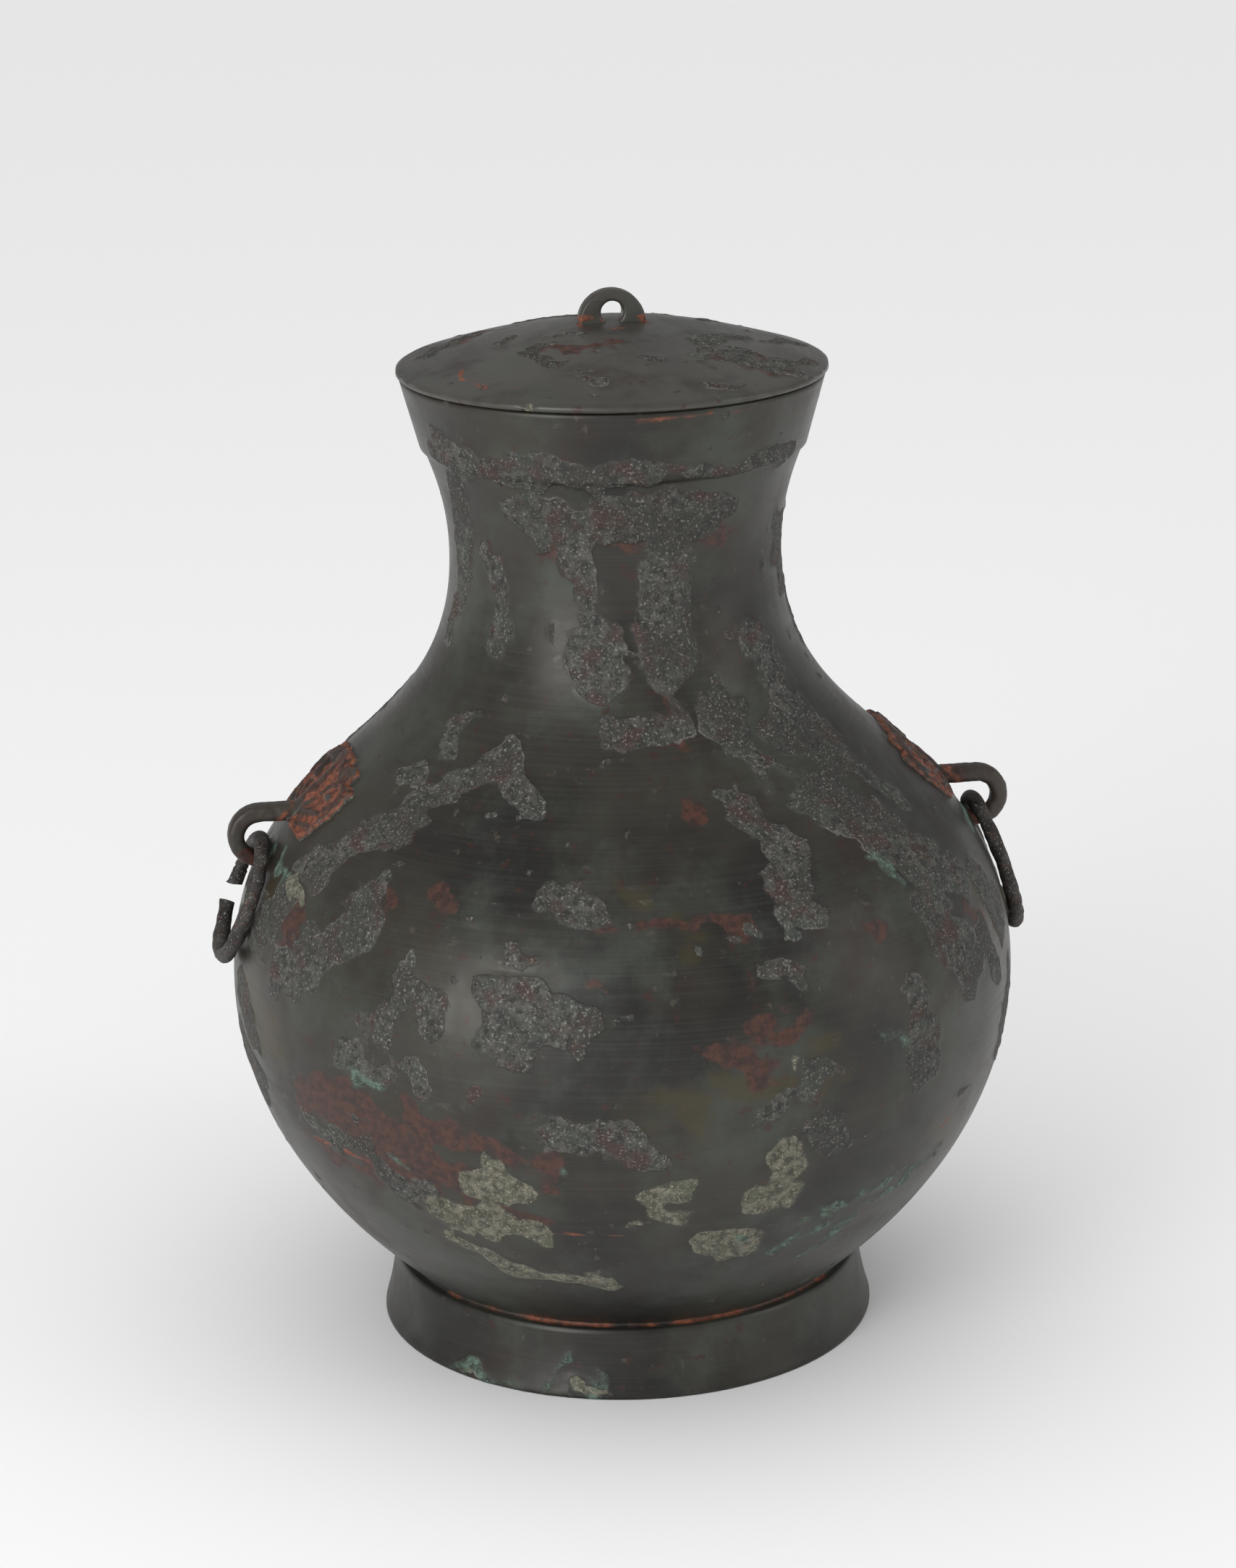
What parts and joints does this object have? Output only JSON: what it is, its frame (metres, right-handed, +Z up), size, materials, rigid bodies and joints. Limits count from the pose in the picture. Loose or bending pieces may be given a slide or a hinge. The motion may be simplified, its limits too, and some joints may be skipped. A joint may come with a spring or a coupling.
{
  "type": "hu ritual vessel",
  "caption": "Lidded bronze wine jar with a round belly, tall foot ring, animal-mask ring handles on the shoulder and a shallow lid with a finger loop.",
  "frame": {"origin": "on the ground under the middle of the jar, in the plane of the foot ring's underside", "axes": "+Z up along the jar's axis, +X through the right-hand ring handle, +Y away from the pictured front"},
  "size_m": [0.3247, 0.3092, 0.4164],
  "materials": {
    "vessel": "cast bronze, dark brown-grey burnished patina with pitted grey-green crusts and red in the masks",
    "lid": "cast bronze, satin brown-grey patina with olive crust and a worn rim",
    "ring_left": "cast bronze, rough black-brown corrosion, broken open",
    "ring_right": "cast bronze, rough iron-grey corrosion"
  },
  "bodies": {
    "jar": {"vessel": "vessel", "lid": "lid"},
    "left_ring": {"ring_left": "ring_left"},
    "right_ring": {"ring_right": "ring_right"}
  },
  "joints": [
    {"name": "right_ring_swing", "type": "hinge", "parent": "jar", "child": "right_ring", "pos_m": [0.1439, 0, 0.2028], "axis": [0, -1, 0], "range_deg": [0, 185]},
    {"name": "left_ring_swing", "type": "hinge", "parent": "jar", "child": "left_ring", "pos_m": [-0.14159, 0, 0.20503], "axis": [0, 1, 0], "range_deg": [0, 185]}
  ]
}
